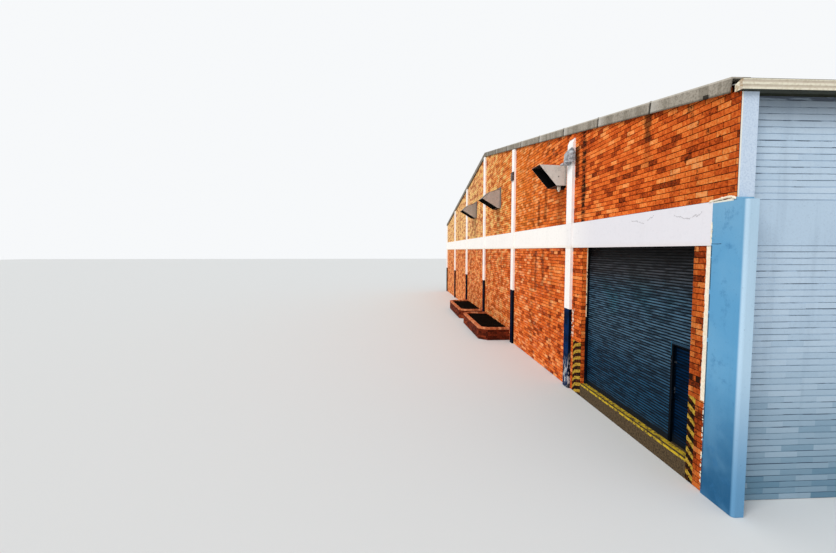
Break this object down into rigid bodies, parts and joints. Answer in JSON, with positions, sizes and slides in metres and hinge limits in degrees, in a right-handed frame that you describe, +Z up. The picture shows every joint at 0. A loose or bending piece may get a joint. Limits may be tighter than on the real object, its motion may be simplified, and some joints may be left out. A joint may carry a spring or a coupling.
{
  "type": "factory building",
  "caption": "Long brick factory shed with a low gable front, a tie beam, painted pilasters, wall hoods and a roller shutter with a hinged wicket door.",
  "frame": {"origin": "foot of the middle pilaster, on the front brick face, at the level base", "axes": "+X along the front towards the roller-door corner, +Y into the building, +Z up"},
  "size_m": [30.275, 21.225, 8.19],
  "materials": {
    "brick": "weathered orange-red brick with dark mortar",
    "white_masonry": "white masonry paint over smooth render, navy dados",
    "blue_masonry": "mid-blue masonry paint, worn at the arris",
    "pale_blue_masonry": "pale grey-blue masonry paint over brick",
    "sill_paint": "worn yellow floor paint on concrete",
    "concrete": "power-floated concrete",
    "frame_steel": "grey primer",
    "roof_sheet": "weathered ribbed sheet",
    "verge": "stained grey-cream fibre cement",
    "eaves_board": "dark olive stain",
    "gutter_paint": "cream enamel, rusty at the ends",
    "shutter_paint": "dark blue coating, dusty at the top",
    "wicket_paint": "blue coating",
    "roll_steel": "mill finish",
    "hood_sheet": "weathered galvanised sheet",
    "lamp_grey": "slate grey housing",
    "planter_brick": "dark red-brown brick",
    "soil": "bare dark soil"
  },
  "bodies": {
    "building": {"front_wall": "brick", "door_jamb_near": "brick", "front_gable": "brick", "side_wall_far": "brick", "rear_wall": "brick", "front_tie_beam": "white_masonry", "pilaster_a": "white_masonry", "pilaster_b": "white_masonry", "pilaster_c": "white_masonry", "pilaster_d": "white_masonry", "pilaster_e": "white_masonry", "pilaster_f": "white_masonry", "side_tie_beam_far": "white_masonry", "rear_tie_beam": "white_masonry", "side_pilasters_far": "white_masonry", "rear_pilasters": "white_masonry", "corner_pier": "blue_masonry", "corner_return": "pale_blue_masonry", "side_wall_near": "pale_blue_masonry", "side_tie_beam_near": "pale_blue_masonry", "side_pilasters_near": "pale_blue_masonry", "floor_slab": "concrete", "door_sill": "sill_paint", "frame_columns": "frame_steel", "frame_rafters": "frame_steel", "purlins": "frame_steel", "roof_sheet_near": "roof_sheet", "roof_sheet_far": "roof_sheet", "ridge_cap": "roof_sheet", "verge_front_near": "verge", "verge_front_far": "verge", "verge_rear": "verge", "eaves_boards": "eaves_board", "gutter_near": "gutter_paint", "gutter_far": "gutter_paint", "downpipes": "gutter_paint", "shutter_curtain": "shutter_paint", "shutter_lower": "shutter_paint", "shutter_guides": "shutter_paint", "wicket_frame": "wicket_paint", "shutter_roll": "roll_steel", "hood_1": "hood_sheet", "hood_2": "hood_sheet", "hood_3": "hood_sheet", "wall_lamps": "lamp_grey", "planter_near": "planter_brick", "planter_far": "planter_brick", "planter_soil": "soil"},
    "wicket": {"wicket_door": "shutter_paint"}
  },
  "joints": [
    {"name": "wicket_hinge", "type": "hinge", "parent": "building", "child": "wicket", "pos_m": [14.2205, 0.223, 0.3], "axis": [0, 0, -1], "range_deg": [0, 90]}
  ]
}
